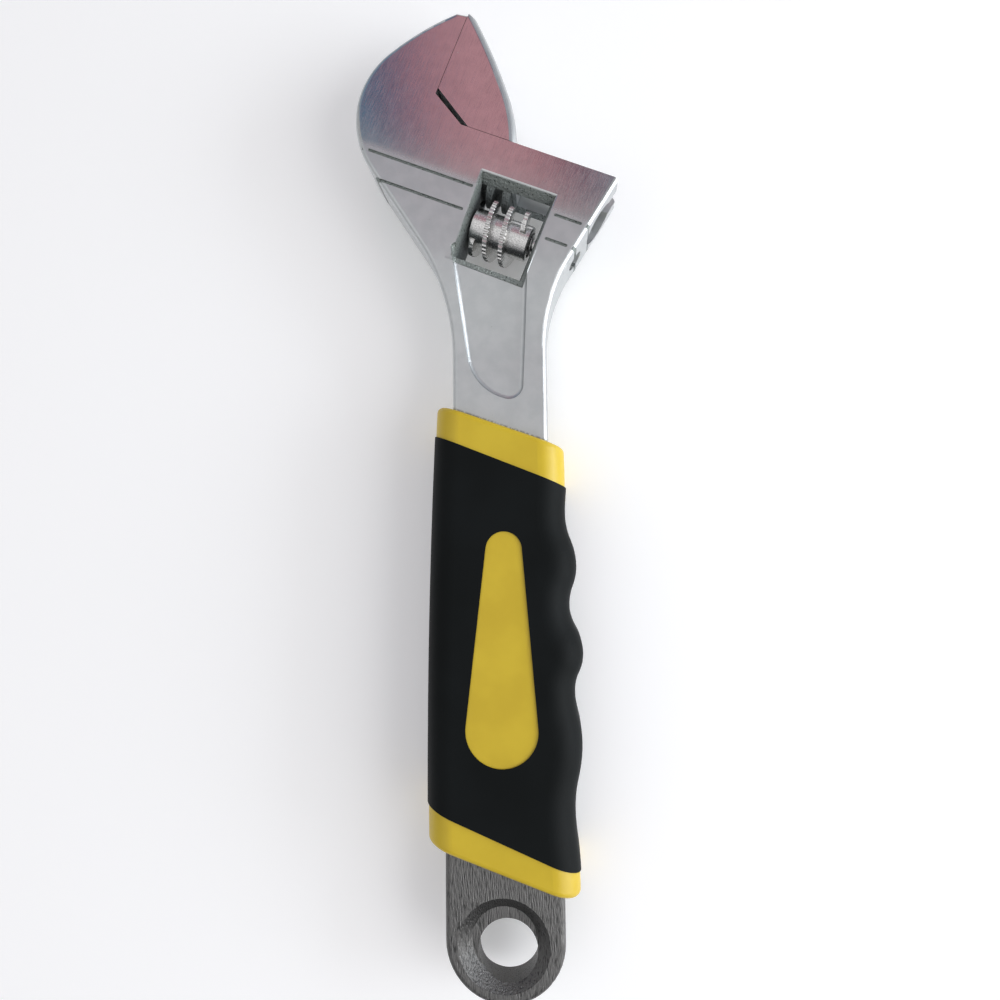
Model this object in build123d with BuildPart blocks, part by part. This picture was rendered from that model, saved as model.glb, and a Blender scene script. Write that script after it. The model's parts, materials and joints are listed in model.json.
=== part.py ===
from build123d import *
import math
import os

# Adjustable wrench of the 250 mm class, in millimetres.
#
# Frame: the origin is the centre of the hanging hole at mid thickness, +Y runs up the
# handle to the jaws, +X is the side that the jaw opens to, and +Z is the front face.
# The jaws are drawn on the HEAD plane: its origin is the inner corner where the closed
# jaw face meets the shelf, local X is the way the jaw slides and local Y is up the faces.

# ---- Head ----
HEAD_ANGLE = 22.5              # tilt of the jaws from the handle
HEAD_CORNER = (-18.15, 213.75)  # inner corner of the jaws
HEAD_HALF = 8.0                # half thickness of the head
BAR_HALF = 5.3                 # half thickness of the neck and the tail
RAMP_LOW = 148.0               # the neck starts to thicken here
RAMP_HIGH = 178.0              # full head thickness from here on
FORGING_ROUND = 1.3            # rounding of the forged outer edges
BEYOND = 60.0                  # reach of a cutter that passes the whole wrench
TOUCH = 0.001                  # two heights this near are the same
OVERLAP = 1.0                  # a join or a cutter runs this far past its face
MIDWAY = 0.5                   # an edge's direction is read halfway along it
MAINLY_ALONG = 0.5             # least share of an edge's direction along an axis

# ---- Jaws ----
JAW_TIP = 28.9                 # height of the jaw tips above the shelf
JAW_GAP = 0.12                 # gap all round the closed jaw
JAW_FOOT = 25.1                # width of the movable jaw on the shelf
JAW_BACK = ((2.6, 28.4), (10.2, 21.0), (18.4, 11.8))  # upper curve of the rounded back
JAW_RELIEF = (7.3, 11.5)       # height and width of the movable jaw's relieved heel
SHELF_RELIEF = (5.7, 9.6)      # height and width of the matching hollow in the body
SHELF_END = 53.7               # length of the shelf
CORNER_ROUND = 1.6             # rounding at the free end of the shelf
JAW_ROUND = 1.9                # rounding of the movable jaw's back edges

# ---- Rack and its guide ----
RACK_DROP = 9.4                # rack axis below the shelf
RACK_RADIUS = 5.5
RACK_START = 0.8
RACK_END = 28.4
GUIDE_RADIUS = 5.75
GUIDE_START = -0.3
WEB_HALF = 2.8                 # half thickness of the web between jaw and rack
WEB_SPAN = (1.4, 23.0)
SLOT_HALF = 3.0
TOOTH_TIP = 1.4                # width of a rack tooth at its tip
TOOTH_ROOT = 2.3
TOOTH_DEPTH = 3.3
FIRST_GAP = 2.25               # first gap between rack teeth, along the slide
TOOTH_GAPS = 7

# ---- Worm, its pin and its spring ----
PITCH = 4.5
WORM_DROP = 21.0               # worm axis below the shelf
WORM_SPAN = (20.75, 37.1)
WORM_ROOT_RADIUS = 4.7
WORM_CREST_RADIUS = 7.75
CREST_WIDTH = 1.3
CREST_ROOT_WIDTH = 2.0
THREAD_SINK = 0.4              # depth of the thread's foot inside the hub
THREAD_START = 22.2            # where the thread rises out of the hub
THREAD_TURNS = 2.8
MESH_CREST = 24.75             # a crest that lies between two teeth when closed
PIN_RADIUS = 1.75
PIN_FIT = 0.06                 # running clearance of the worm on its pin
PIN_START = 14.6
PIN_HEAD_RADIUS = 2.75
PIN_HEAD_START = 45.3
PIN_END = 48.2
DRIVER_SLOT = (0.9, 1.1)       # width and depth of the screwdriver slot
SPRING_POCKET_RADIUS = 3.35
SPRING_POCKET_DEPTH = 5.0
SPRING_RADIUS = 2.7
SPRING_WIRE = 0.24
SPRING_TURNS = 4

# ---- Window around the worm ----
WINDOW_SPAN = (20.15, 38.8)    # along the slide, at the pin
WINDOW_DROP = (12.3, 32.6)     # below the shelf, at the pin
WINDOW_SLANT = 0.036           # the left side runs in by this share of its height
WINDOW_FLARE = (0.75, 1.3, 2.9, 0.9)  # left, right, top and bottom lean
WINDOW_MIDDLE = (30.0, -21.5)
WINDOW_ROUND = 0.45            # rounding of the mouth's edges
WINDOW_FLARE_DEPTH = 3.6       # the walls lean outwards over this depth

# ---- Marks in the forged faces ----
GROOVE_DROPS = (14.4, 21.0)
GROOVE_WIDTH = 0.8
GROOVE_DEPTH = 0.45
GROOVE_LEFT = ((-11.3, 18.8), (-5.4, 18.6))
GROOVE_RIGHT = ((41.4, 49.0), (41.4, 47.6))
TONGUE_DEPTH = 1.3             # depth of the tongue pressed into the neck
TONGUE_ROUND = 1.15            # hollow round the tongue's floor
TONGUE_LEFT = ((-12.5, 179.0), (-8.6, 149.0))  # straight left side, downwards
TONGUE_TOE = (1.2, 137.7)      # lowest place
TONGUE_RIGHT = ((5.9, 141.1), (7.6, 173.0))  # straight right side, upwards

# ---- Handle ----
NECK_SPAN = (-12.5, 11.9)      # sides of the neck
NECK_TOP = 150.3               # the neck starts to flare into the head here
TANG_TOP = 112.0               # the bar widens towards the tail between these heights
TANG_FOOT = 16.0
SHOULDER_BACK = (-20.9, 179.3)  # end of the flare under the fixed jaw
HEEL_LENGTH = 23.7             # straight stretch above it
CHEEK_SIDE = (-37.65, 212.9)   # widest place of the fixed jaw
CROWN_TOP = (-28.6, 231.35)    # the two curves over the fixed jaw meet here
BROW_END = (-3.2, 28.4)        # on the HEAD plane, next to the jaw's tip
ABOVE_SHELF = ((1.0, 28.9), (55.2, 8.0))  # on the HEAD plane, in the part cut away
FACET_FOOT = (17.6, 171.8)     # foot of the straight end facet
TAIL_CENTRE = (-0.5, 2.7)
TAIL_RADIUS = 14.8
HOLE_RADIUS = 7.4
HOLE_LAND = 2.3                # half length of the straight wall in the hanging hole
DISH_CENTRE = (-0.8, 2.0)      # the dish is set a little up the handle from its hole
DISH_RADIUS = 11.4
DISH_FLOOR_RADIUS = 8.2        # where the dish meets the straight wall

# ---- Grip ----
GRIP_HALF = 11.0
GRIP_ROUND = 7.0               # rounding of the grip's long edges
GRIP_FOOT = -8.0               # the form runs on below the grip to this height
FINGER_WAVE = (                # crests and hollows of the finger grips, bottom to top
    (18.4, GRIP_FOOT), (18.5, 16.3), (17.3, 34.8), (19.3, 50.8), (17.7, 63.6), (19.9, 72.8),
    (16.7, 84.9), (18.6, 94.6), (16.0, 107.8), (16.4, 116.3), (15.0, 152.3),
)
GRIP_BACK = ((-15.9, 152.3), (-19.15, 77.3), (-19.3, GRIP_FOOT))
SLEEVE_INSET = 2.5             # the cover's thickness over the core
FLUSH_INSET = 0.35             # the core's bare areas lie this far under the cover
RIM_ROUND = 1.4
TOP_RIM = (130.2, -20.3)       # height at the middle and slant of each cross line
UPPER_SEAM = (121.1, -22.4)
LOWER_SEAM = (28.3, -23.0)
BOTTOM_RIM = (20.5, -19.8)
DROP_TOP = (0.7, 98.9, 4.5)    # centre and radius of the teardrop panel's ends
DROP_BOTTOM = (-0.3, 54.9, 8.9)

SLIDE = Vector(1, 0, 0).rotate(Axis.Z, -HEAD_ANGLE)
HEAD = Plane(origin=(*HEAD_CORNER, 0), x_dir=SLIDE, z_dir=(0, 0, 1))


def at_head(along, up):
    """Point of the wrench frame at a place on the HEAD plane."""
    return HEAD.from_local_coords(Vector(along, up, 0))


def across_slide(along, drop):
    """Plane square to the slide, centred at a place below the shelf."""
    return Plane(origin=at_head(along, -drop), x_dir=HEAD.y_dir, z_dir=HEAD.x_dir)


def thickness_slab(inset):
    """Everything between the front and back faces, each brought in by inset."""
    with BuildPart() as slab:
        with BuildSketch(Plane.YZ.offset(-BEYOND)):
            with BuildLine():
                for side in (1, -1):
                    tail = Line((-BEYOND, 0), (-BEYOND, side * (BAR_HALF - inset)))
                    bar = Line(tail @ 1, (RAMP_LOW, side * (BAR_HALF - inset)))
                    half_way = ((RAMP_LOW + RAMP_HIGH) / 2, side * ((BAR_HALF + HEAD_HALF) / 2 - inset))
                    hollow = TangentArc(bar @ 1, half_way, tangent=bar % 1)
                    crown = TangentArc(half_way, (RAMP_HIGH, side * (HEAD_HALF - inset)), tangent=hollow % 1)
                    Polyline(crown @ 1, (5 * BEYOND, side * (HEAD_HALF - inset)), (5 * BEYOND, 0))
            make_face()
        extrude(amount=2 * BEYOND)
    return slab.part


def slanted_zone(top, bottom):
    """Everything between two slanted cross lines of the handle."""
    with BuildPart() as zone:
        with BuildSketch():
            with BuildLine():
                corners = []
                for (height, slant), sides in ((top, (-1, 1)), (bottom, (1, -1))):
                    rise = BEYOND * math.tan(math.radians(slant))
                    corners += [(side * BEYOND, height + side * rise) for side in sides]
                Polyline(*corners, close=True)
            make_face()
        extrude(amount=BEYOND, both=True)
    return zone.part


def grip_form(inset):
    """The hand grip's outer form brought in by inset, longer than the grip at both ends."""
    with BuildPart() as form:
        with BuildSketch(Plane.XY.offset(inset - GRIP_HALF)):
            with BuildLine():
                back = ThreePointArc(*GRIP_BACK)
                Line(back @ 1, FINGER_WAVE[0])
                for low, high in zip(FINGER_WAVE, FINGER_WAVE[1:]):
                    inflection = ((low[0] + high[0]) / 2, (low[1] + high[1]) / 2)
                    rise = TangentArc(low, inflection, tangent=(0, 1))
                    wave = TangentArc(inflection, high, tangent=rise % 1)
                Line(wave @ 1, back @ 0)
            make_face()
            if inset:
                offset(amount=-inset, kind=Kind.INTERSECTION)
        extrude(amount=2 * (GRIP_HALF - inset))
        long_edges = form.edges().filter_by(
            lambda edge: abs(edge.tangent_at(MIDWAY).Y) > MAINLY_ALONG
        )
        fillet(long_edges, GRIP_ROUND - inset)
    return form.part


def teardrops():
    """The teardrop area right through the grip."""
    with BuildPart() as drop:
        with BuildSketch():
            for x, y, radius in (DROP_TOP, DROP_BOTTOM):
                with Locations((x, y)):
                    Circle(radius)
            make_hull()
        extrude(amount=BEYOND, both=True)
    return drop.part


def shaft_along_slide(start, end, drop, radius):
    """Round bar along the slide."""
    with BuildPart() as shaft:
        with BuildSketch(across_slide(start, drop)):
            Circle(radius)
        extrude(amount=end - start)
    return shaft.part


def window_corners(left_lean=0, right_lean=0, top_lean=0, bottom_lean=0):
    """Corners of the window on the HEAD plane, with each side moved outwards."""
    left, right = WINDOW_SPAN[0] - left_lean, WINDOW_SPAN[1] + right_lean
    top, bottom = top_lean - WINDOW_DROP[0], -WINDOW_DROP[1] - bottom_lean
    foot = left + WINDOW_SLANT * (top - bottom)
    return (left, top), (right, top), (right, bottom), (foot, bottom)


# ---- body: forged handle with the fixed jaw ----
with BuildPart() as body:
    with BuildSketch(Plane.XY.offset(-HEAD_HALF)):
        with BuildLine():
            back = SHOULDER_BACK
            flare = TangentArc((NECK_SPAN[0], NECK_TOP), back, tangent=(0, 1))
            heel = Line(flare @ 1, flare @ 1 + (flare % 1) * HEEL_LENGTH)
            cheek = TangentArc(heel @ 1, CHEEK_SIDE, tangent=heel % 1)
            crown = TangentArc(cheek @ 1, CROWN_TOP, tangent=cheek % 1)
            brow = TangentArc(crown @ 1, at_head(*BROW_END), tangent=crown % 1)
            over = Polyline(brow @ 1, *(at_head(*place) for place in ABOVE_SHELF))
            facet = Line(over @ 1, FACET_FOOT)
            throat = TangentArc((NECK_SPAN[1], NECK_TOP), FACET_FOOT, tangent=(0, 1))
            for side, neck in zip((-1, 1), NECK_SPAN):
                tail = TAIL_CENTRE[0] + side * TAIL_RADIUS
                inflection = ((neck + tail) / 2, (TANG_TOP + TANG_FOOT) / 2)
                Line((neck, NECK_TOP), (neck, TANG_TOP))
                upper = TangentArc((neck, TANG_TOP), inflection, tangent=(0, -1))
                lower = TangentArc(inflection, (tail, TANG_FOOT), tangent=upper % 1)
                Line(lower @ 1, (tail, TAIL_CENTRE[1]))
            CenterArc(TAIL_CENTRE, TAIL_RADIUS, 180, 180)
        make_face()
    extrude(amount=2 * HEAD_HALF)
    add(thickness_slab(0), mode=Mode.INTERSECT)
    rim = body.edges().filter_by(Axis.X, reverse=True).filter_by(Axis.Z, reverse=True)
    fillet(rim, FORGING_ROUND)

    # Room for the movable jaw: everything above the shelf and past the fixed jaw's face
    with BuildSketch(HEAD):
        with BuildLine():
            face = Polyline((0, BEYOND), (0, SHELF_RELIEF[0]), (SHELF_RELIEF[1], 0))
            shelf = Line(face @ 1, (SHELF_END - CORNER_ROUND, 0))
            corner = RadiusArc(shelf @ 1, (SHELF_END, -CORNER_ROUND), CORNER_ROUND)
            Polyline(corner @ 1, (BEYOND * 2, -CORNER_ROUND), (BEYOND * 2, BEYOND), face @ 0)
        make_face()
    extrude(amount=BEYOND, both=True, mode=Mode.SUBTRACT)

    # Guide bore for the rack, and the slot that the jaw's web runs in
    add(shaft_along_slide(GUIDE_START, BEYOND, RACK_DROP, GUIDE_RADIUS), mode=Mode.SUBTRACT)
    with BuildSketch(HEAD):
        with Locations((GUIDE_START, 0)):
            Rectangle(BEYOND, 2 * RACK_DROP, align=(Align.MIN, Align.CENTER))
    extrude(amount=SLOT_HALF, both=True, mode=Mode.SUBTRACT)

    # Window for the worm, with walls that lean outwards at both faces
    with BuildSketch(HEAD):
        with BuildLine():
            Polyline(*window_corners(), close=True)
        make_face()
    extrude(amount=BEYOND, both=True, mode=Mode.SUBTRACT)
    for side in (1, -1):
        for height, leans in ((HEAD_HALF - WINDOW_FLARE_DEPTH, ()), (HEAD_HALF, WINDOW_FLARE)):
            with BuildSketch(HEAD.offset(side * height)):
                with BuildLine():
                    Polyline(*window_corners(*leans), close=True)
                make_face()
        loft(mode=Mode.SUBTRACT)
        face_edges = body.edges().filter_by_position(
            Axis.Z, side * HEAD_HALF - TOUCH, side * HEAD_HALF + TOUCH
        )
        middle = at_head(*WINDOW_MIDDLE) + Vector(0, 0, side * HEAD_HALF)
        mouth = face_edges.sort_by_distance(middle)[:len(WINDOW_FLARE)]
        fillet(mouth, WINDOW_ROUND)

    # Hole for the worm's pin: blind on the left, counterbored on the right
    add(shaft_along_slide(PIN_START, BEYOND, WORM_DROP, PIN_RADIUS), mode=Mode.SUBTRACT)
    add(shaft_along_slide(PIN_HEAD_START, BEYOND, WORM_DROP, PIN_HEAD_RADIUS), mode=Mode.SUBTRACT)

    # Grooves each side of the window, on both faces
    for drop, *spans in zip(GROOVE_DROPS, GROOVE_LEFT, GROOVE_RIGHT):
        for start, end in spans:
            for side in (1, -1):
                with BuildSketch(HEAD.offset(side * HEAD_HALF)):
                    with Locations(((start + end) / 2, -drop)):
                        SlotOverall(end - start, GROOVE_WIDTH)
                extrude(amount=-side * GROOVE_DEPTH, mode=Mode.SUBTRACT)

    # Tongue pressed into the neck below the window, on both faces
    with BuildPart(mode=Mode.PRIVATE) as tongue:
        with BuildSketch(Plane.XY.offset(-HEAD_HALF - OVERLAP)):
            with BuildLine():
                left = Line(*TONGUE_LEFT)
                bend = TangentArc(left @ 1, TONGUE_TOE, tangent=left % 1)
                toe = TangentArc(bend @ 1, TONGUE_RIGHT[0], tangent=bend % 1)
                Polyline(toe @ 1, TONGUE_RIGHT[1], left @ 0)
            make_face()
        extrude(amount=2 * (HEAD_HALF + OVERLAP))
        add(thickness_slab(TONGUE_DEPTH), mode=Mode.SUBTRACT)
        floor_edges = tongue.edges(Select.LAST)
        fillet(floor_edges, TONGUE_ROUND)
    add(tongue.part, mode=Mode.SUBTRACT)

    # Hanging hole, dished from both faces
    Cylinder(HOLE_RADIUS, BEYOND, mode=Mode.SUBTRACT)
    for side in (1, -1):
        with Locations(Location((*DISH_CENTRE, side * HOLE_LAND), (90 - side * 90, 0, 0))):
            Cone(DISH_FLOOR_RADIUS, DISH_RADIUS, BAR_HALF - HOLE_LAND, mode=Mode.SUBTRACT,
                 align=(Align.CENTER, Align.CENTER, Align.MIN))
body.part.label = "body"

# ---- movable_jaw: jaw, web and toothed rack in one forging ----
with BuildPart() as movable_jaw:
    with BuildSketch(HEAD.offset(-HEAD_HALF)):
        with BuildLine():
            inner = Polyline(
                (JAW_RELIEF[1], JAW_GAP), (JAW_GAP, JAW_RELIEF[0]), (JAW_GAP, JAW_TIP)
            )
            Line(inner @ 1, JAW_BACK[0])
            upper = ThreePointArc(*JAW_BACK)
            lower = TangentArc(upper @ 1, (JAW_FOOT, JAW_GAP), tangent=upper % 1)
            Line(lower @ 1, inner @ 0)
        make_face()
    extrude(amount=2 * HEAD_HALF)
    back_edges = movable_jaw.edges().filter_by(GeomType.CIRCLE)
    fillet(back_edges, JAW_ROUND)
    with BuildSketch(HEAD):
        with Locations((WEB_SPAN[0], 2 * JAW_GAP)):
            Rectangle(WEB_SPAN[1] - WEB_SPAN[0], RACK_DROP, align=(Align.MIN, Align.MAX))
        with Locations((WEB_SPAN[1] - JAW_RELIEF[1], JAW_GAP)):
            Rectangle(JAW_RELIEF[1], OVERLAP, align=(Align.MIN, Align.MIN))
    extrude(amount=WEB_HALF, both=True)
    add(shaft_along_slide(RACK_START, RACK_END, RACK_DROP, RACK_RADIUS))
    with BuildSketch(HEAD):
        root = -RACK_DROP - RACK_RADIUS + TOOTH_DEPTH
        for index in range(TOOTH_GAPS):
            middle = FIRST_GAP + index * PITCH
            with BuildLine():
                Polyline(
                    (middle - (PITCH - TOOTH_ROOT) / 2, root),
                    (middle + (PITCH - TOOTH_ROOT) / 2, root),
                    (middle + (PITCH - TOOTH_TIP) / 2, root - TOOTH_DEPTH),
                    (middle - (PITCH - TOOTH_TIP) / 2, root - TOOTH_DEPTH), close=True,
                )
            make_face()
    extrude(amount=HEAD_HALF, both=True, mode=Mode.SUBTRACT)
movable_jaw.part.label = "movable_jaw"

# ---- worm: right-handed worm that drives the rack ----
start_turn = 360 * (THREAD_START - MESH_CREST) / PITCH
with BuildPart(mode=Mode.PRIVATE) as thread:
    with BuildLine():
        path = Helix(PITCH, PITCH * THREAD_TURNS, WORM_ROOT_RADIUS)
    with BuildSketch(Plane(path @ 0, x_dir=(1, 0, 0), z_dir=path % 0)):
        with BuildLine():
            depth = WORM_CREST_RADIUS - WORM_ROOT_RADIUS
            Polyline(
                (-THREAD_SINK, -CREST_ROOT_WIDTH / 2), (depth, -CREST_WIDTH / 2),
                (depth, CREST_WIDTH / 2), (-THREAD_SINK, CREST_ROOT_WIDTH / 2), close=True,
            )
        make_face()
    sweep(path=path, is_frenet=True)
thread_place = across_slide(THREAD_START, WORM_DROP).location * Rotation(0, 0, start_turn)

with BuildPart() as worm:
    add(shaft_along_slide(*WORM_SPAN, WORM_DROP, WORM_ROOT_RADIUS))
    add(thread_place * thread.part)
    pin_hole = shaft_along_slide(*WORM_SPAN, WORM_DROP, PIN_RADIUS + PIN_FIT)
    add(pin_hole, mode=Mode.SUBTRACT)
    pocket_start = WORM_SPAN[1] - SPRING_POCKET_DEPTH
    spring_pocket = shaft_along_slide(pocket_start, WORM_SPAN[1], WORM_DROP, SPRING_POCKET_RADIUS)
    add(spring_pocket, mode=Mode.SUBTRACT)
worm.part.label = "worm"

# ---- worm_pin: slotted pin that the worm turns on ----
with BuildPart() as worm_pin:
    add(shaft_along_slide(PIN_START, PIN_END, WORM_DROP, PIN_RADIUS))
    add(shaft_along_slide(PIN_HEAD_START, PIN_END, WORM_DROP, PIN_HEAD_RADIUS))
    with BuildSketch(across_slide(PIN_END, WORM_DROP)):
        Rectangle(DRIVER_SLOT[0], 3 * PIN_HEAD_RADIUS)
    extrude(amount=-DRIVER_SLOT[1], mode=Mode.SUBTRACT)
worm_pin.part.label = "worm_pin"

# ---- worm_spring: takes up the worm's end play ----
spring_start = pocket_start + 2 * SPRING_WIRE
spring_length = WINDOW_SPAN[1] - SPRING_WIRE - spring_start
with BuildPart(mode=Mode.PRIVATE) as wire:
    with BuildLine():
        coil = Helix(spring_length / SPRING_TURNS, spring_length, SPRING_RADIUS)
    with BuildSketch(Plane(coil @ 0, z_dir=coil % 0)):
        Circle(SPRING_WIRE)
    sweep(path=coil, is_frenet=True)

with BuildPart() as worm_spring:
    add(across_slide(spring_start, WORM_DROP).location * wire.part)
worm_spring.part.label = "worm_spring"

# ---- grip_core: hard sleeve with two end collars and two teardrop panels ----
with BuildPart() as grip_core:
    add(grip_form(FLUSH_INSET))
    add(slanted_zone(TOP_RIM, BOTTOM_RIM), mode=Mode.INTERSECT)
    rims = grip_core.edges().filter_by(
        lambda edge: max(abs(edge.tangent_at(MIDWAY).Z), abs(edge.tangent_at(MIDWAY).X)) > MAINLY_ALONG
    )
    fillet(rims, RIM_ROUND)
    with BuildPart(mode=Mode.PRIVATE) as cover_room:
        add(grip_form(-OVERLAP))
        add(slanted_zone(UPPER_SEAM, LOWER_SEAM), mode=Mode.INTERSECT)
        add(grip_form(SLEEVE_INSET), mode=Mode.SUBTRACT)
        add(teardrops(), mode=Mode.SUBTRACT)
    add(cover_room.part, mode=Mode.SUBTRACT)
    add(body.part, mode=Mode.SUBTRACT)
grip_core.part.label = "grip_core"

# ---- grip_cover: soft cover moulded over the core ----
with BuildPart() as grip_cover:
    add(grip_form(0))
    add(slanted_zone(UPPER_SEAM, LOWER_SEAM), mode=Mode.INTERSECT)
    add(grip_form(SLEEVE_INSET), mode=Mode.SUBTRACT)
    add(teardrops(), mode=Mode.SUBTRACT)
grip_cover.part.label = "grip_cover"

os.makedirs("parts", exist_ok=True)
for piece in (body, movable_jaw, worm, worm_pin, worm_spring, grip_core, grip_cover):
    export_step(piece.part, f"parts/{piece.part.label}.step")
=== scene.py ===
import json
import math

import bpy
from mathutils import Matrix, Vector


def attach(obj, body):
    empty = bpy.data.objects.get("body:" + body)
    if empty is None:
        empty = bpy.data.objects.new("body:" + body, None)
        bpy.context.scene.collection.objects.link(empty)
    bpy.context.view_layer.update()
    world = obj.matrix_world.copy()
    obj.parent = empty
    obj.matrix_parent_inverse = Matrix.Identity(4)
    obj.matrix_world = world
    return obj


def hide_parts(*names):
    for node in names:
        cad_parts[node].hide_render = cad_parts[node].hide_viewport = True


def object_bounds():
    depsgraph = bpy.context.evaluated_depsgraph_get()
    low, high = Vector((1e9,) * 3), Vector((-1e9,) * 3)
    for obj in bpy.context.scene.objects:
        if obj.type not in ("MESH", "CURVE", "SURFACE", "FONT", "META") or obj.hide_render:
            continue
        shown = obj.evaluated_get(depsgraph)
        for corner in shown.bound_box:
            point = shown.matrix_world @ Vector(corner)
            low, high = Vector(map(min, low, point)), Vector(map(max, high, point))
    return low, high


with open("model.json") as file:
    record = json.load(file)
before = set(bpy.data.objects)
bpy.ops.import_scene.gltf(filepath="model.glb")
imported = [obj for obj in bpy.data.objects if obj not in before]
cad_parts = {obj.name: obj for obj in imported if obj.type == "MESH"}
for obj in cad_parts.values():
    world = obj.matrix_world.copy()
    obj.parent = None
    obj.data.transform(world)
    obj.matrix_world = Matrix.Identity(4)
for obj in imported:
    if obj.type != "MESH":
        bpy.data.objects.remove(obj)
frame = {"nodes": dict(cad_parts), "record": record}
cad_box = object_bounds()

# ---------------------------------------------------------------- places read from the frame
MM = 0.001
record = frame["record"]
joints = {joint["name"]: joint for joint in record["behaviour"]["joints"]}
mounts = {mount["name"]: mount for mount in record["mounts"]}
coupling = record["behaviour"]["couplings"][0]

SLIDE = Vector(joints["jaw_slide"]["axis"])
UP_FACE = Vector((0, 0, 1)).cross(SLIDE)
JAW_FACE_HEIGHT = 18 * MM            # the fixed jaw face's mount lies this far above the shelf
HEAD_CORNER = Vector(mounts["fixed_jaw_face"]["pos_m"]) - UP_FACE * JAW_FACE_HEIGHT
WORM_AXIS = Vector(joints["worm_turn"]["pos_m"])
PITCH = 2 * math.pi / coupling["ratio"]
FLOOR_HEIGHT = cad_box[0][2]

# ---------------------------------------------------------------- node helpers
MIX_FACTOR, MIX_NUMBERS, MIX_COLOURS = 0, (2, 3), (6, 7)   # input numbers of a Mix node
MIXED_NUMBER, MIXED_COLOUR = 0, 2                          # and its output numbers
NOISE_BAND = (0.3, 0.7)                                    # where most of a noise's values lie


def node(tree, kind, inputs=None, **settings):
    """Adds a node; inputs maps a socket name or number to a value or to another socket."""
    made = tree.nodes.new(kind)
    for name, value in settings.items():
        setattr(made, name, value)
    for name, value in (inputs or {}).items():
        if isinstance(value, bpy.types.NodeSocket):
            tree.links.new(value, made.inputs[name])
        else:
            made.inputs[name].default_value = value
    return made


def maths(tree, operation, *values):
    """A Math node's result."""
    return node(tree, "ShaderNodeMath", dict(enumerate(values)), operation=operation).outputs[0]


def vector_maths(tree, operation, *values):
    """A Vector Math node's result."""
    made = node(tree, "ShaderNodeVectorMath", dict(enumerate(values)), operation=operation)
    return made.outputs[0]


def smooth_step(tree, value, low, high):
    """0 below low, 1 above high, smooth between; low may be the larger."""
    made = node(
        tree, "ShaderNodeMapRange", {"Value": value, "From Min": low, "From Max": high},
        interpolation_type="SMOOTHSTEP",
    )
    return made.outputs["Result"]


def noise(tree, place, scale, detail):
    """Noise value at a place in millimetres; scale is in features for each millimetre."""
    made = node(tree, "ShaderNodeTexNoise", {"Vector": place, "Scale": scale, "Detail": detail})
    return made.outputs[0]


def mix_colour(tree, factor, first, second):
    """Colour mixed by a factor; each colour is three numbers or a socket."""
    made = node(tree, "ShaderNodeMix", {MIX_FACTOR: factor}, data_type="RGBA")
    for index, colour in zip(MIX_COLOURS, (first, second)):
        if isinstance(colour, bpy.types.NodeSocket):
            tree.links.new(colour, made.inputs[index])
        else:
            made.inputs[index].default_value = (*colour, 1)
    return made.outputs[MIXED_COLOUR]


def colour_ramp(tree, value, stops):
    """Colour read from (place, colour) stops."""
    made = node(tree, "ShaderNodeValToRGB", {"Fac": value})
    elements = made.color_ramp.elements
    while len(elements) < len(stops):
        elements.new(1.0)
    for element, (place, colour) in zip(elements, stops):
        element.position = place
        element.color = (*colour, 1)
    return made.outputs["Color"]


def mix_value(tree, factor, first, second):
    """Number mixed by a factor."""
    inputs = {MIX_FACTOR: factor, **dict(zip(MIX_NUMBERS, (first, second)))}
    return node(tree, "ShaderNodeMix", inputs, data_type="FLOAT").outputs[MIXED_NUMBER]


def new_group(name, inputs, outputs):
    """An empty node group with its named sockets; returns the group and its input node."""
    group = bpy.data.node_groups.new(name, "ShaderNodeTree")
    for label, kind, default in inputs:
        socket = group.interface.new_socket(label, in_out="INPUT", socket_type=kind)
        if default is not None:
            socket.default_value = default
    for label, kind in outputs:
        group.interface.new_socket(label, in_out="OUTPUT", socket_type=kind)
    return group, group.nodes.new("NodeGroupInput").outputs


def close_group(group, **results):
    """Links the group's results to its outputs."""
    out = group.nodes.new("NodeGroupOutput")
    for name, socket in results.items():
        group.links.new(socket, out.inputs[name])


def use_group(tree, group, **inputs):
    """Places a group in a material and returns its outputs."""
    made = tree.nodes.new("ShaderNodeGroup")
    made.node_tree = group
    for name, value in inputs.items():
        if isinstance(value, bpy.types.NodeSocket):
            tree.links.new(value, made.inputs[name])
        else:
            made.inputs[name].default_value = value
    return made.outputs


FLOAT, VECTOR = "NodeSocketFloat", "NodeSocketVector"

# ---------------------------------------------------------------- shared effects
SMALLEST_PIT = 0.4                   # share of the pit size that the smallest pits have
PIT_FLOOR = 0.4                      # share of a pit's radius that its flat floor takes


def make_place_group():
    """Place on the wrench in millimetres, and the same place in the jaws' own frame."""
    group, _ = new_group("place", [], [("Handle", VECTOR), ("Head", VECTOR)])
    coords = node(group, "ShaderNodeTexCoord").outputs["Object"]
    handle = node(group, "ShaderNodeMapping", {"Vector": coords, "Scale": (1 / MM, 1 / MM, 1 / MM)})
    head = node(
        group, "ShaderNodeMapping",
        {
            "Vector": coords, "Location": HEAD_CORNER,
            "Rotation": (0, 0, math.atan2(SLIDE.y, SLIDE.x)), "Scale": (MM, MM, MM),
        },
        vector_type="TEXTURE",
    )
    close_group(group, Handle=handle.outputs[0], Head=head.outputs[0])
    return group


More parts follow.
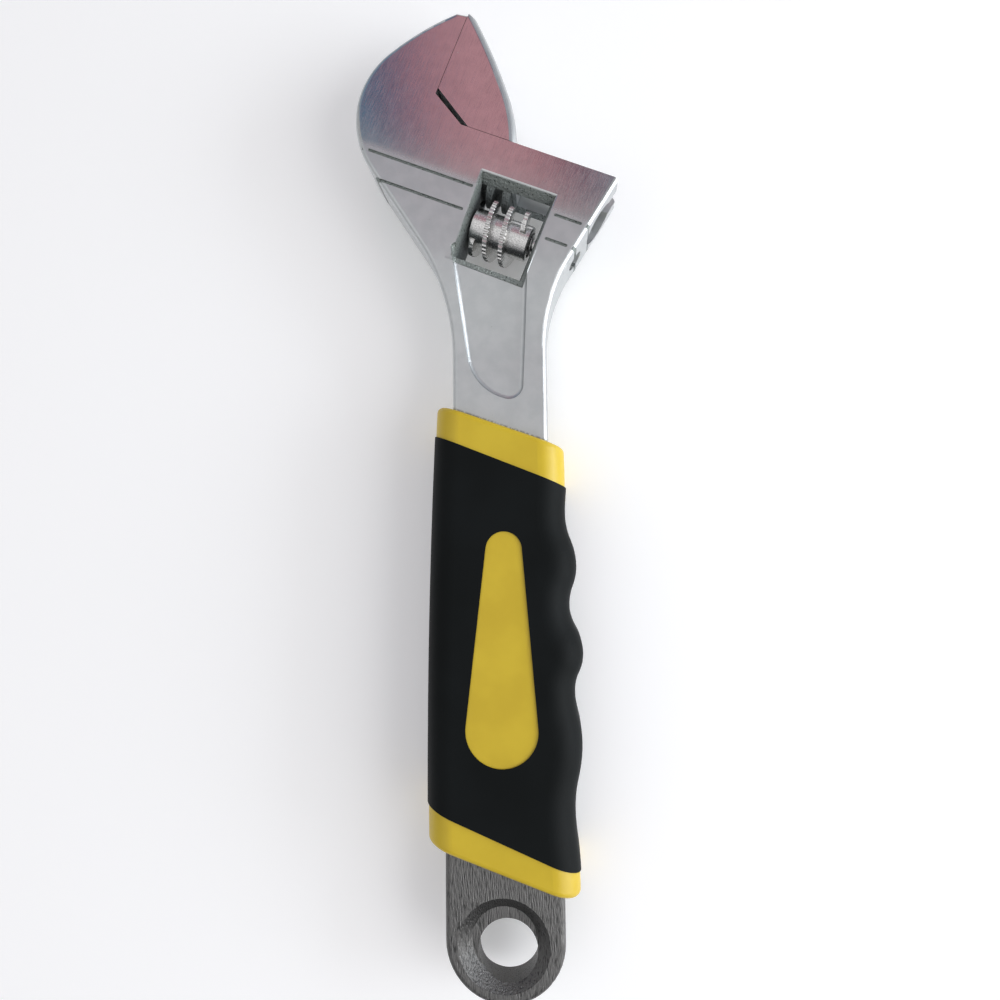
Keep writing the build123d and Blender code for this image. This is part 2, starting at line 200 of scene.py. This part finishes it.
def make_pits_group():
    """Scattered small pits: Mask is 1 in a pit."""
    group, given = new_group(
        "pits",
        [
            ("Vector", VECTOR, None), ("Spacing", FLOAT, 1.0), ("Size", FLOAT, 0.2),
            ("Share", FLOAT, 0.5),
        ],
        [("Mask", FLOAT)],
    )
    scale = maths(group, "DIVIDE", 1.0, given["Spacing"])
    cells = node(group, "ShaderNodeTexVoronoi", {"Vector": given["Vector"], "Scale": scale})
    chance = node(group, "ShaderNodeSeparateColor", {"Color": cells.outputs["Color"]}).outputs[0]
    picked = maths(group, "LESS_THAN", chance, given["Share"])
    reach = maths(group, "MULTIPLY", given["Size"], maths(group, "ADD", SMALLEST_PIT, chance))
    floor = maths(group, "MULTIPLY", reach, PIT_FLOOR)
    inside = smooth_step(group, cells.outputs["Distance"], reach, floor)
    close_group(group, Mask=maths(group, "MULTIPLY", inside, picked))
    return group


def make_brushed_group():
    """Fine parallel lines; Stretch is how much longer than wide they are, along the second axis."""
    group, given = new_group(
        "brushed",
        [("Vector", VECTOR, None), ("Width", FLOAT, 0.1), ("Stretch", FLOAT, 30.0)],
        [("Lines", FLOAT)],
    )
    across = maths(group, "DIVIDE", 1.0, given["Width"])
    along = maths(group, "DIVIDE", across, given["Stretch"])
    scale = node(group, "ShaderNodeCombineXYZ", {0: across, 1: along, 2: across})
    place = node(group, "ShaderNodeMapping", {"Vector": given["Vector"], "Scale": scale.outputs[0]})
    close_group(group, Lines=noise(group, place.outputs[0], scale=1.0, detail=3.0))
    return group


def make_box_mask_group():
    """1 inside a box of the given middle and half size, fading over Edge."""
    group, given = new_group(
        "box_mask",
        [
            ("Vector", VECTOR, None), ("Middle", VECTOR, None), ("Half", VECTOR, None),
            ("Edge", FLOAT, 0.3),
        ],
        [("Mask", FLOAT)],
    )
    shifted = vector_maths(group, "SUBTRACT", given["Vector"], given["Middle"])
    over = vector_maths(group, "SUBTRACT", vector_maths(group, "ABSOLUTE", shifted), given["Half"])
    parts = node(group, "ShaderNodeSeparateXYZ", {0: over}).outputs
    farthest = maths(group, "MAXIMUM", maths(group, "MAXIMUM", parts[0], parts[1]), parts[2])
    close_group(group, Mask=smooth_step(group, farthest, given["Edge"], 0.0))
    return group


PLACE = make_place_group()
PITS = make_pits_group()
BRUSHED = make_brushed_group()
BOX_MASK = make_box_mask_group()


def new_material(name):
    """A material with its Principled shader, ready for links."""
    material = bpy.data.materials.new(name)
    material.use_nodes = True
    tree = material.node_tree
    return material, tree, tree.nodes["Principled BSDF"]


def bump(tree, height, distance, base=None):
    """Normal from a height of 0 to 1, which stands for the distance in millimetres."""
    inputs = {"Height": height, "Distance": distance * MM}
    if base is not None:
        inputs["Normal"] = base
    return node(tree, "ShaderNodeBump", inputs).outputs[0]


# ---------------------------------------------------------------- plated steel of the forgings
# Lengths are in millimetres. Depths below the shelf and heights from mid thickness are in
# the jaws' own frame. Each (start, end) pair is where an effect begins and where it is full.
GROOVE_DROPS = (14.4, 21.0)          # grooves below the shelf
GROOVE_MIDDLE, GROOVE_REACH = 19, 32  # middle and half length of the grooved band, on the slide
GROOVE_HALF, GROOVE_EDGE = 0.42, 0.12
HEAD_REACH = 9                       # a height past both faces of the head
GROOVE_FLOOR = (7.92, 7.80)          # heights just under the face
POLISHED_FACE = (7.80, 7.97)
POLISH_FADE = (-0.5, 3.0)            # above the upper groove
WINDOW_MIDDLE = (29.7, -22.0, 0.0)
WINDOW_HALF = (10.6, 12.3, 7.75)
WINDOW_EDGE = 0.25
WINDOW_SHADE_DEPTHS = (7.0, 3.5)             # heights between which painted shade darkens the window's walls
TAIL_FADE = (60.0, 40.0)             # heights up the handle, hidden in the grip
COLLAR_TOP = 130.2                   # height of the upper collar's rim at x = 0
COLLAR_SLANT = -0.37
RIM_SHADE_FADE = (1.3, 0.3)              # painted shadow and reflection, fading out above the collar's rim
RIM_SHADE_PATCHES = (0.35, 0.55)

SATIN_TONES = ((0.57, 0.59, 0.595), (0.62, 0.635, 0.64))
TAIL_TONE = (0.17, 0.168, 0.165)
TAIL_DIP_TONE = (0.05, 0.05, 0.05)
TAIL_DIPS = (0.5, 0.34)              # streak values that make a dip
WALL_TONE_AND_SHADE = ((0.24, 0.27, 0.25), (0.06, 0.075, 0.075))  # own tone near the faces, and painted shade deep inside
# painted shadow at the upper collar's rim, tinted olive as a painted reflection of the yellow
# collar
RIM_SHADE_TONE = (0.09, 0.07, 0.03)
PIT_TONE = (0.035, 0.04, 0.04)
STRONG, FAINTER = 0.8, 0.7           # how far a darker tone covers the one under it

SATIN_GLOSS = (0.36, 0.46)
POLISHED_GLOSS = (0.03, 0.16)
TAIL_GLOSS = (0.28, 0.55)
CAST_GLOSS = 0.6
LINE_DEPTH, GRAIN_DEPTH, CAST_DEPTH, STREAK_DEPTH, PIT_DEPTH = 0.01, 0.03, 0.5, 0.3, 0.15


def make_plated_steel():
    """Plated forging: polished on the jaws, satin on the neck, rough in the window and the tail."""
    material, tree, shader = new_material("plated_steel")
    places = use_group(tree, PLACE)
    head, handle = places["Head"], places["Handle"]
    _, head_y, head_z = node(tree, "ShaderNodeSeparateXYZ", {0: head}).outputs
    handle_x, handle_y, _ = node(tree, "ShaderNodeSeparateXYZ", {0: handle}).outputs
    height = maths(tree, "ABSOLUTE", head_z)

    above_groove = smooth_step(tree, head_y, *(rise - GROOVE_DROPS[0] for rise in POLISH_FADE))
    polished = maths(tree, "MULTIPLY", above_groove, smooth_step(tree, height, *POLISHED_FACE))
    window = use_group(
        tree, BOX_MASK, Vector=head, Middle=WINDOW_MIDDLE, Half=WINDOW_HALF, Edge=WINDOW_EDGE
    )["Mask"]
    upper_groove, lower_groove = (
        use_group(
            tree, BOX_MASK, Vector=head, Middle=(GROOVE_MIDDLE, -drop, 0),
            Half=(GROOVE_REACH, GROOVE_HALF, HEAD_REACH), Edge=GROOVE_EDGE,
        )["Mask"]
        for drop in GROOVE_DROPS
    )
    grooves = maths(tree, "MAXIMUM", upper_groove, lower_groove)
    grooves = maths(tree, "MULTIPLY", grooves, smooth_step(tree, height, *GROOVE_FLOOR))
    rough_cast = maths(tree, "MAXIMUM", window, grooves)
    tail = smooth_step(tree, handle_y, *TAIL_FADE)
    rim = maths(tree, "MULTIPLY_ADD", handle_x, COLLAR_SLANT, COLLAR_TOP)
    above_rim = maths(tree, "SUBTRACT", handle_y, rim)

    brushed_face = use_group(tree, BRUSHED, Vector=head, Width=0.11, Stretch=45.0)["Lines"]
    streaks = use_group(tree, BRUSHED, Vector=handle, Width=0.28, Stretch=9.0)["Lines"]
    fine = noise(tree, handle, scale=4.0, detail=4.0)
    mottle = noise(tree, handle, scale=0.25, detail=3.0)
    coarse = noise(tree, handle, scale=1.6, detail=4.0)
    specks = use_group(tree, PITS, Vector=handle, Spacing=2.6, Size=0.07, Share=0.22)["Mask"]
    cast_pits = use_group(tree, PITS, Vector=handle, Spacing=0.55, Size=0.42, Share=0.7)["Mask"]

    tone = mix_colour(tree, smooth_step(tree, mottle, *NOISE_BAND), *SATIN_TONES)
    tone = mix_colour(tree, tail, tone, TAIL_TONE)
    tail_dips = maths(tree, "MULTIPLY", smooth_step(tree, streaks, *TAIL_DIPS), tail)
    tone = mix_colour(tree, maths(tree, "MULTIPLY", tail_dips, STRONG), tone, TAIL_DIP_TONE)
    # painted shade: the window's walls get darker deeper inside the opening
    wall_tone_and_shade = mix_colour(tree, smooth_step(tree, height, *WINDOW_SHADE_DEPTHS), *WALL_TONE_AND_SHADE)
    tone = mix_colour(tree, maths(tree, "MULTIPLY", rough_cast, STRONG), tone, wall_tone_and_shade)
    # painted shadow and painted reflection of the collar, in patches just above its rim
    patches = smooth_step(tree, coarse, *RIM_SHADE_PATCHES)
    rim_shade = maths(tree, "MULTIPLY", smooth_step(tree, above_rim, *RIM_SHADE_FADE), patches)
    rim_shade = maths(tree, "MULTIPLY", rim_shade, maths(tree, "SUBTRACT", 1.0, tail))
    tone = mix_colour(tree, rim_shade, tone, RIM_SHADE_TONE)
    pits = maths(tree, "MULTIPLY", rough_cast, cast_pits)
    pits = maths(tree, "MAXIMUM", pits, maths(tree, "MULTIPLY", specks, FAINTER))
    tone = mix_colour(tree, pits, tone, PIT_TONE)
    tree.links.new(tone, shader.inputs["Base Color"])

    gloss = mix_value(tree, smooth_step(tree, fine, *NOISE_BAND), *SATIN_GLOSS)
    gloss = mix_value(tree, polished, gloss, mix_value(tree, brushed_face, *POLISHED_GLOSS))
    gloss = mix_value(tree, tail, gloss, mix_value(tree, streaks, *TAIL_GLOSS))
    gloss = mix_value(tree, rough_cast, gloss, CAST_GLOSS)
    tree.links.new(gloss, shader.inputs["Roughness"])
    shader.inputs["Metallic"].default_value = 1.0

    surface = bump(tree, maths(tree, "MULTIPLY", brushed_face, polished), LINE_DEPTH)
    surface = bump(tree, mix_value(tree, polished, fine, 0.5), GRAIN_DEPTH, surface)
    surface = bump(tree, maths(tree, "MULTIPLY", coarse, rough_cast), CAST_DEPTH, surface)
    surface = bump(tree, maths(tree, "MULTIPLY", streaks, tail), STREAK_DEPTH, surface)
    surface = bump(tree, maths(tree, "MULTIPLY", pits, -1.0), PIT_DEPTH, surface)
    tree.links.new(surface, shader.inputs["Normal"])
    return material


# ---------------------------------------------------------------- the other materials
TURNED_TONES = ((0.58, 0.58, 0.57), (0.80, 0.79, 0.78))
TURNED_BAND = (0.35, 0.65)           # noise values between the two tones
TURNED_GLOSS = (0.14, 0.34)
YELLOW_TONES = ((0.60, 0.42, 0.016), (0.66, 0.475, 0.022))
YELLOW_SPECK_TONE = (0.12, 0.05, 0.01)
YELLOW_GLOSS = (0.34, 0.46)
RUBBER_TONES = ((0.0045, 0.0058, 0.0060), (0.0062, 0.0078, 0.0083))
DUST_TONE = (0.5, 0.5, 0.48)
RUBBER_GLOSS = (0.50, 0.62)
PLASTIC_GRAIN_DEPTH, RUBBER_GRAIN_DEPTH = 0.012, 0.02


def make_bright_steel():
    """Bright turned steel for the worm, its pin and its spring."""
    material, tree, shader = new_material("bright_steel")
    handle = use_group(tree, PLACE)["Handle"]
    fine = noise(tree, handle, scale=3.0, detail=3.0)
    tone = mix_colour(tree, smooth_step(tree, fine, *TURNED_BAND), *TURNED_TONES)
    tree.links.new(tone, shader.inputs["Base Color"])
    tree.links.new(mix_value(tree, fine, *TURNED_GLOSS), shader.inputs["Roughness"])
    shader.inputs["Metallic"].default_value = 1.0
    tree.links.new(bump(tree, fine, GRAIN_DEPTH), shader.inputs["Normal"])
    return material


def make_yellow_plastic():
    """Satin moulded plastic with faint flow marks and a few dark specks."""
    material, tree, shader = new_material("yellow_plastic")
    handle = use_group(tree, PLACE)["Handle"]
    flow = noise(tree, handle, scale=0.09, detail=3.0)
    grain = noise(tree, handle, scale=6.0, detail=3.0)
    specks = use_group(tree, PITS, Vector=handle, Spacing=9.0, Size=0.03, Share=0.25)["Mask"]
    tone = mix_colour(tree, smooth_step(tree, flow, *NOISE_BAND), *YELLOW_TONES)
    tone = mix_colour(tree, maths(tree, "MULTIPLY", specks, STRONG), tone, YELLOW_SPECK_TONE)
    tree.links.new(tone, shader.inputs["Base Color"])
    tree.links.new(mix_value(tree, grain, *YELLOW_GLOSS), shader.inputs["Roughness"])
    tree.links.new(bump(tree, grain, PLASTIC_GRAIN_DEPTH), shader.inputs["Normal"])
    return material


def make_black_rubber():
    """Soft black rubber with a fine matte texture and a little dust."""
    material, tree, shader = new_material("black_rubber")
    handle = use_group(tree, PLACE)["Handle"]
    grain = noise(tree, handle, scale=5.0, detail=3.0)
    cloud = noise(tree, handle, scale=0.06, detail=2.0)
    dust = use_group(tree, PITS, Vector=handle, Spacing=16.0, Size=0.014, Share=0.5)["Mask"]
    tone = mix_colour(tree, smooth_step(tree, cloud, *NOISE_BAND), *RUBBER_TONES)
    tree.links.new(mix_colour(tree, dust, tone, DUST_TONE), shader.inputs["Base Color"])
    tree.links.new(mix_value(tree, grain, *RUBBER_GLOSS), shader.inputs["Roughness"])
    shader.inputs["Specular IOR Level"].default_value = 0.1
    tree.links.new(bump(tree, grain, RUBBER_GRAIN_DEPTH), shader.inputs["Normal"])
    return material


# ---------------------------------------------------------------- worm with its knurl
WORM_CREST_RADIUS = 7.75 * MM
WORM_ROOT_RADIUS = 4.7 * MM
WORM_BORE_RADIUS = 1.81 * MM
POCKET_RADIUS = 3.35 * MM
POCKET_DEPTH = 5.0 * MM
MESH_CREST = 24.75 * MM              # a crest lies here along the slide, on the rack's side
THREAD_START = 22.2 * MM
THREAD_TURNS = 2.8
CREST_WIDTH = 1.3 * MM
THREAD_FOOT_WIDTH = 2.0 * MM
THREAD_SINK = 0.3 * MM               # depth of the thread's foot inside the hub
HUB_CHAMFER = 0.35 * MM
CREST_CHAMFER = 0.1 * MM
KNURL_DEPTH = 0.3 * MM
STEPS_PER_TURN = 160
KNURL_STEPS = 4                      # steps for each notch of the knurl; the first half is cut
FADE_TURNS = 0.09                    # the thread rises out of the hub over this part of a turn
FADE_POWER = 0.6                     # below 1, so that it rises steeply at first
HUB_STEPS = 96
MERGE_DISTANCE = 0.001 * MM
SMOOTH_ANGLE = math.radians(32)


def deselect():
    """Nothing selected and object mode."""
    if bpy.context.object and bpy.context.object.mode != "OBJECT":
        bpy.ops.object.mode_set(mode="OBJECT")
    bpy.ops.object.select_all(action="DESELECT")


def apply_modifier(piece, kind, **settings):
    """Adds one modifier, sets it and applies it."""
    deselect()
    bpy.context.view_layer.objects.active = piece
    piece.select_set(True)
    modifier = piece.modifiers.new(kind.lower(), kind)
    for name, value in settings.items():
        setattr(modifier, name, value)
    bpy.ops.object.modifier_apply(modifier=modifier.name)


def worm_place():
    """Matrix from the worm's own frame (Z along the slide, X up the jaws) to the wrench."""
    side = SLIDE.cross(UP_FACE)
    turn = Matrix((UP_FACE, side, SLIDE)).transposed().to_4x4()
    along = (WORM_AXIS - HEAD_CORNER).dot(SLIDE)
    return Matrix.Translation(WORM_AXIS - SLIDE * along) @ turn


def turned_profile(name, points, steps, turns=1.0, screw=0.0):
    """A closed ring of (radius, height) points swept round Z, and along it if screw is given."""
    mesh = bpy.data.meshes.new(name)
    edges = [(index, (index + 1) % len(points)) for index in range(len(points))]
    mesh.from_pydata([(radius, 0, height) for radius, height in points], edges, [])
    piece = bpy.data.objects.new(name, mesh)
    bpy.context.collection.objects.link(piece)
    apply_modifier(
        piece, "SCREW", angle=2 * math.pi * turns, screw_offset=screw, iterations=1, steps=steps,
        render_steps=steps, use_merge_vertices=screw == 0, merge_threshold=MERGE_DISTANCE,
        axis="Z",
    )
    return piece


def tidy_faces(piece):
    """Fills open ends and turns every face outwards."""
    deselect()
    bpy.context.view_layer.objects.active = piece
    piece.select_set(True)
    bpy.ops.object.mode_set(mode="EDIT")
    bpy.ops.mesh.select_all(action="SELECT")
    bpy.ops.mesh.fill_holes(sides=0)
    bpy.ops.mesh.select_all(action="SELECT")
    bpy.ops.mesh.normals_make_consistent(inside=False)
    bpy.ops.object.mode_set(mode="OBJECT")


def worm_span():
    """Ends of the CAD worm along the slide, from the head's corner."""
    vertices = frame["nodes"]["worm"].data.vertices
    places = [(vertex.co - HEAD_CORNER).dot(SLIDE) for vertex in vertices]
    return min(places), max(places)


def make_worm():
    """The worm: a smooth hub with a knurled thread that rises out of it at a pointed fin."""
    start, end = worm_span()
    rim_radius = WORM_ROOT_RADIUS - HUB_CHAMFER
    worm = turned_profile("worm_screw", [
        (WORM_BORE_RADIUS, start), (rim_radius, start), (WORM_ROOT_RADIUS, start + HUB_CHAMFER),
        (WORM_ROOT_RADIUS, end - HUB_CHAMFER), (rim_radius, end), (POCKET_RADIUS, end),
        (POCKET_RADIUS, end - POCKET_DEPTH), (WORM_BORE_RADIUS, end - POCKET_DEPTH),
    ], HUB_STEPS)
    tidy_faces(worm)

    foot, flank = THREAD_FOOT_WIDTH / 2, CREST_WIDTH / 2
    inner, shoulder = WORM_ROOT_RADIUS - THREAD_SINK, WORM_CREST_RADIUS - KNURL_DEPTH
    ring = [
        (inner, -foot), (shoulder, -flank), (WORM_CREST_RADIUS, CREST_CHAMFER - flank),
        (WORM_CREST_RADIUS, flank - CREST_CHAMFER), (shoulder, flank), (inner, foot),
    ]
    steps = round(STEPS_PER_TURN * THREAD_TURNS)
    thread = turned_profile("worm_thread", ring, steps, THREAD_TURNS, PITCH * THREAD_TURNS)
    fade_steps = STEPS_PER_TURN * FADE_TURNS
    for index, vertex in enumerate(thread.data.vertices):
        step, place = divmod(index, len(ring))
        radius = vertex.co.to_2d().length
        steps_in = min(step, steps - step) + 1
        reach = min(1.0, steps_in / fade_steps) ** FADE_POWER
        goal = inner + (ring[place][0] - inner) * reach
        if ring[place][0] == WORM_CREST_RADIUS and step % KNURL_STEPS < KNURL_STEPS / 2:
            goal -= KNURL_DEPTH * reach
        vertex.co.x *= goal / radius
        vertex.co.y *= goal / radius
    start_turn = 2 * math.pi * (THREAD_START - MESH_CREST) / PITCH
    turn = Matrix.Rotation(start_turn, 4, "Z")
    thread.data.transform(Matrix.Translation((0, 0, THREAD_START)) @ turn)
    tidy_faces(thread)

    apply_modifier(worm, "BOOLEAN", operation="UNION", object=thread, solver="EXACT")
    bpy.data.objects.remove(thread)
    worm.data.transform(worm_place())
    deselect()
    worm.select_set(True)
    bpy.context.view_layer.objects.active = worm
    bpy.ops.object.shade_smooth_by_angle(angle=SMOOTH_ANGLE)
    worm.data.materials.clear()
    worm.data.materials.append(MATERIALS["bright_steel"])
    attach(worm, "worm")
    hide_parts("worm")


# ---------------------------------------------------------------- floor, light and camera
FLOOR_SIZE = 6.0
FLOOR_MIDDLE = (0, 0.12)
PAPER_TONE = (0.93, 0.93, 0.93, 1)
PAPER_GLOW = 0.17
# name, place, point that it looks at, size, watts, colour
LIGHTS = (
    ("key_box", (1.05, -0.25, 0.60), (0, 0.12, 0), (1.2, 1.2), 11, (1, 1, 1)),
    ("fill_box", (-0.55, 0.0, 1.10), (0, 0.12, 0), (1.4, 1.4), 2.5, (1, 1, 1)),
    ("right_box", (0.60, 0.16, 0.20), (0, 0.16, 0), (0.5, 0.2), 1.8, (0.86, 0.93, 1.0)),
)
ROOM_TONES = (                       # along the handle's direction, from the tail's side
    (0.0, (0.30, 0.30, 0.31)), (0.35, (0.36, 0.36, 0.37)), (0.55, (0.47, 0.47, 0.48)),
    (1.0, (0.54, 0.54, 0.55)),
)
CARD_TONES = (                       # of the card beyond the jaws, from left to right
    (0.10, (0.30, 0.36, 0.44)), (0.255, (0.16, 0.30, 0.42)), (0.278, (0.03, 0.10, 0.20)),
    (0.305, (0.10, 0.12, 0.22)), (0.325, (0.40, 0.20, 0.26)), (0.345, (0.53, 0.25, 0.29)),
    (0.40, (0.61, 0.32, 0.36)), (0.45, (0.72, 0.37, 0.40)), (0.480, (0.58, 0.29, 0.32)),
    (0.512, (0.40, 0.17, 0.21)), (0.535, (0.18, 0.10, 0.15)), (0.560, (0.10, 0.08, 0.13)),
    (0.578, (0.34, 0.34, 0.41)), (0.62, (0.46, 0.47, 0.51)),
)
CARD_SLANT = 0.24                    # the card's lower edge is slanted
CARD_FOOT = (0.40, 0.475)
CARD_HORIZON = (0.05, 0.2)
CAMERA_PLACE = (0.01454, 0.09866, 0.18963)
CAMERA_RIGHT = (0.99655, -0.01226, -0.08206)
CAMERA_FORWARD = (-0.0810, 0.0696, -0.9943)
LENS, SENSOR = 26.17, 36.0
NEAREST = 0.005


def make_floor_paper():
    """Plain pale floor, a little bright by itself."""
    material, _, shader = new_material("floor_paper")
    shader.inputs["Base Color"].default_value = PAPER_TONE
    shader.inputs["Emission Color"].default_value = (1, 1, 1, 1)
    shader.inputs["Emission Strength"].default_value = PAPER_GLOW
    shader.inputs["Roughness"].default_value = 0.9
    shader.inputs["Specular IOR Level"].default_value = 0.1
    return material


def make_floor():
    """A wide pale floor under the wrench."""
    deselect()
    bpy.ops.mesh.primitive_plane_add(size=FLOOR_SIZE, location=(*FLOOR_MIDDLE, FLOOR_HEIGHT))
    floor = bpy.context.object
    floor.name = "floor"
    bpy.ops.object.transform_apply(location=True, rotation=True, scale=True)
    floor.data.materials.append(make_floor_paper())


def add_light(name, place, target, size, watts, colour):
    """A soft rectangular light that looks at a point."""
    lamp = bpy.data.lights.new(name, "AREA")
    lamp.shape = "RECTANGLE"
    lamp.size, lamp.size_y = size
    lamp.energy = watts
    lamp.color = colour
    holder = bpy.data.objects.new(name, lamp)
    holder.location = place
    way = Vector(target) - Vector(place)
    holder.rotation_euler = way.to_track_quat("-Z", "Y").to_euler()
    bpy.context.collection.objects.link(holder)


def make_world():
    """Pale studio, darker behind the tail, with a pink and blue card beyond the jaws."""
    world = bpy.data.worlds.new("studio")
    world.use_nodes = True
    tree = world.node_tree
    way = node(tree, "ShaderNodeTexCoord").outputs["Generated"]
    way_x, way_y, way_z = node(tree, "ShaderNodeSeparateXYZ", {0: way}).outputs
    room = colour_ramp(tree, maths(tree, "MULTIPLY_ADD", way_y, 0.5, 0.5), ROOM_TONES)
    card = colour_ramp(tree, maths(tree, "ADD", way_x, 0.5), CARD_TONES)
    slanted = maths(tree, "MULTIPLY_ADD", way_x, CARD_SLANT, way_y)
    above_foot = smooth_step(tree, slanted, *CARD_FOOT)
    in_card = maths(tree, "MULTIPLY", above_foot, smooth_step(tree, way_z, *CARD_HORIZON))
    background = tree.nodes["Background"]
    tree.links.new(mix_colour(tree, in_card, room, card), background.inputs["Color"])
    background.inputs["Strength"].default_value = 1.0
    bpy.context.scene.world = world


def make_camera():
    """A near view of the front face, a little tilted."""
    lens = bpy.data.cameras.new("view")
    lens.lens, lens.sensor_width = LENS, SENSOR
    lens.clip_start = NEAREST
    forward = Vector(CAMERA_FORWARD).normalized()
    up = Vector(CAMERA_RIGHT).cross(forward).normalized()
    right = forward.cross(up).normalized()
    turn = Matrix((right, up, -forward)).transposed().to_4x4()
    camera = bpy.data.objects.new("view", lens)
    camera.matrix_world = Matrix.Translation(CAMERA_PLACE) @ turn
    bpy.context.collection.objects.link(camera)
    bpy.context.scene.camera = camera


# ---------------------------------------------------------------- the scene
MATERIALS = {
    "plated_steel": make_plated_steel(),
    "bright_steel": make_bright_steel(),
    "yellow_plastic": make_yellow_plastic(),
    "black_rubber": make_black_rubber(),
}
for part in record["subparts"]:
    for slot in frame["nodes"][part["node"]].material_slots:
        slot.material = MATERIALS[part["material_slot"]]

make_worm()
make_floor()
make_world()
make_camera()
for light in LIGHTS:
    add_light(*light)
bpy.context.scene.view_settings.view_transform = "Standard"
